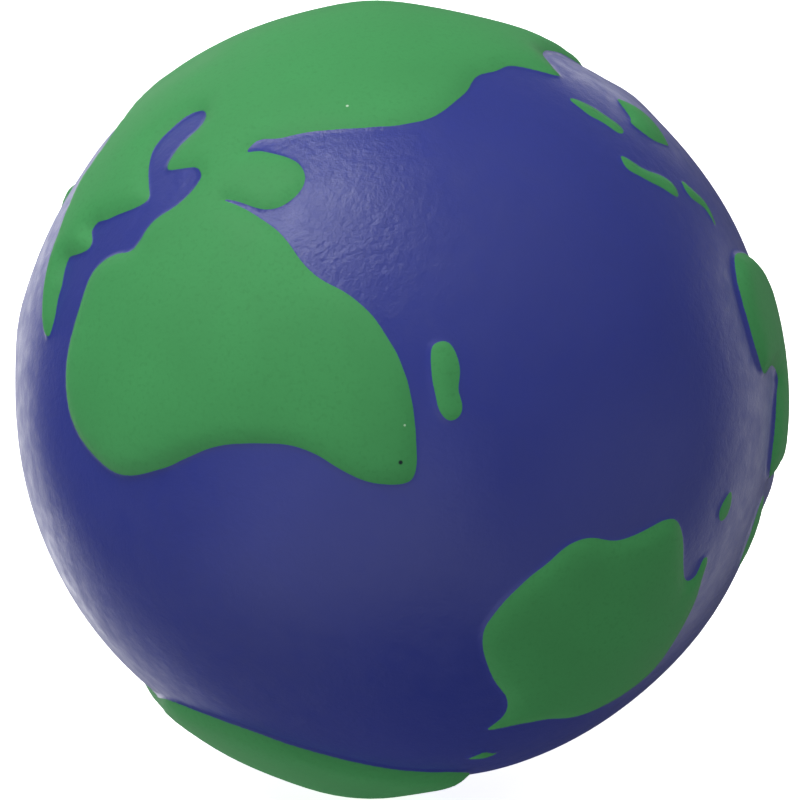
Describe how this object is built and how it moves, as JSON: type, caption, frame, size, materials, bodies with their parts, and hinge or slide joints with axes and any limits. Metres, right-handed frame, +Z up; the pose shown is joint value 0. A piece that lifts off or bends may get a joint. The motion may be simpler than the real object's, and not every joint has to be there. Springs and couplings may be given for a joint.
{
  "type": "stress ball",
  "caption": "Soft foam squeeze ball shaped as a world globe, with raised green lands on a smooth blue ocean.",
  "frame": {"origin": "the ball's centre, which is the common centre of the foam core, the skin and the raised lands", "axes": "+Z up as the ball lies on a desk, +X to the right and +Y away from a person looking at Africa and the Indian Ocean; the globe's north pole leans 52 degrees from +Z towards the back left (147 degrees from +X about +Z)"},
  "size_m": [0.0695, 0.0689, 0.0699],
  "materials": {
    "blue_ocean_paint": "satin paint over a moulded foam skin",
    "green_land_paint": "matt to satin paint over raised foam",
    "soft_foam": "cut open, fine-celled cream polyurethane foam"
  },
  "bodies": {
    "root": {"africa": "green_land_paint", "antarctica": "green_land_paint", "australia": "green_land_paint", "baffin_island": "green_land_paint", "borneo": "green_land_paint", "cuba": "green_land_paint", "europe_and_asia": "green_land_paint", "foam_core": "soft_foam", "greenland": "green_land_paint", "iceland": "green_land_paint", "japan": "green_land_paint", "java": "green_land_paint", "kerguelen": "green_land_paint", "madagascar": "green_land_paint", "new_guinea": "green_land_paint", "new_zealand_north_island": "green_land_paint", "new_zealand_south_island": "green_land_paint", "north_america": "green_land_paint", "ocean_skin": "blue_ocean_paint", "philippines": "green_land_paint", "south_america": "green_land_paint", "south_georgia": "green_land_paint", "sumatra": "green_land_paint", "timor": "green_land_paint"}
  },
  "joints": []
}
